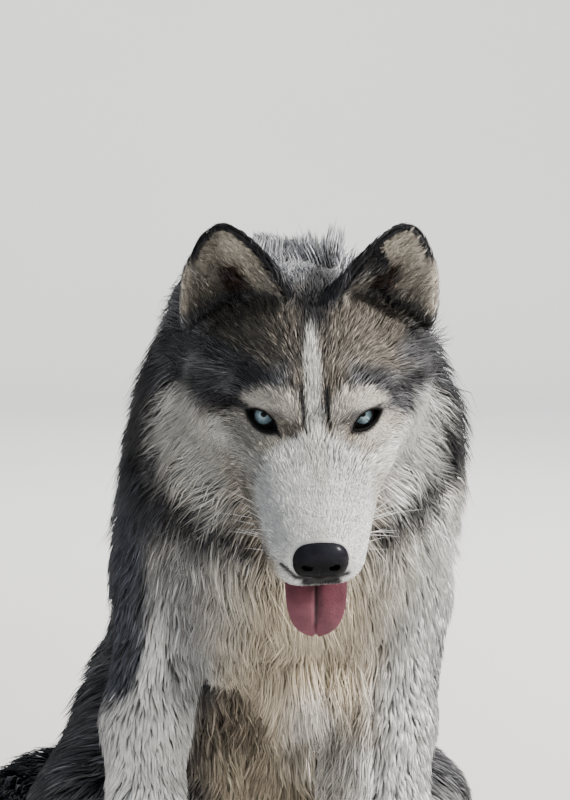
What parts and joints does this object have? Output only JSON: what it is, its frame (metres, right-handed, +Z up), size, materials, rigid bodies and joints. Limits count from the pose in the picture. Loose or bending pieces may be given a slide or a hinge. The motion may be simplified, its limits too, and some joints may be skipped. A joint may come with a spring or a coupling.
{
  "type": "siberian husky",
  "caption": "Life-size sitting Siberian husky with lowered head, pricked ears, pale blue eyes, open mouth with hanging tongue, thick ruff and a tail curled along the floor.",
  "frame": {"origin": "on the floor, under the middle of the outline", "axes": "+Z up; the dog faces -Y; +X is its left"},
  "size_m": [0.465, 0.7158, 0.576],
  "materials": {
    "coat_grey": "matte long fur, dark grey outer hairs over a paler under-coat",
    "coat_ruff": "matte long fur, silver grey and cream",
    "coat_dark": "matte short fur, near black",
    "coat_white": "matte short fur, white",
    "eye": "wet and glossy, pale blue",
    "nose_leather": "moist black skin",
    "tongue": "moist pink skin",
    "claw": "smooth dark horn"
  },
  "bodies": {
    "root": {"claw_fore_left_1": "claw", "claw_fore_left_2": "claw", "claw_fore_left_3": "claw", "claw_fore_left_4": "claw", "claw_fore_right_1": "claw", "claw_fore_right_2": "claw", "claw_fore_right_3": "claw", "claw_fore_right_4": "claw", "claw_hind_left_1": "claw", "claw_hind_left_2": "claw", "claw_hind_left_3": "claw", "claw_hind_left_4": "claw", "claw_hind_right_1": "claw", "claw_hind_right_2": "claw", "claw_hind_right_3": "claw", "claw_hind_right_4": "claw", "ear_left": "coat_dark", "ear_right": "coat_dark", "eye_left": "eye", "eye_right": "eye", "fore_paw_left": "coat_white", "fore_paw_right": "coat_white", "foreleg_left": "coat_white", "foreleg_right": "coat_white", "head": "coat_white", "hind_foot_left": "coat_white", "hind_foot_right": "coat_white", "hind_paw_left": "coat_white", "hind_paw_right": "coat_white", "lower_jaw": "coat_white", "neck": "coat_ruff", "nose": "nose_leather", "rump": "coat_grey", "tail_base": "coat_grey", "tail_end": "coat_grey", "thigh_left": "coat_grey", "thigh_right": "coat_grey", "tongue": "tongue", "torso": "coat_grey"}
  },
  "joints": []
}
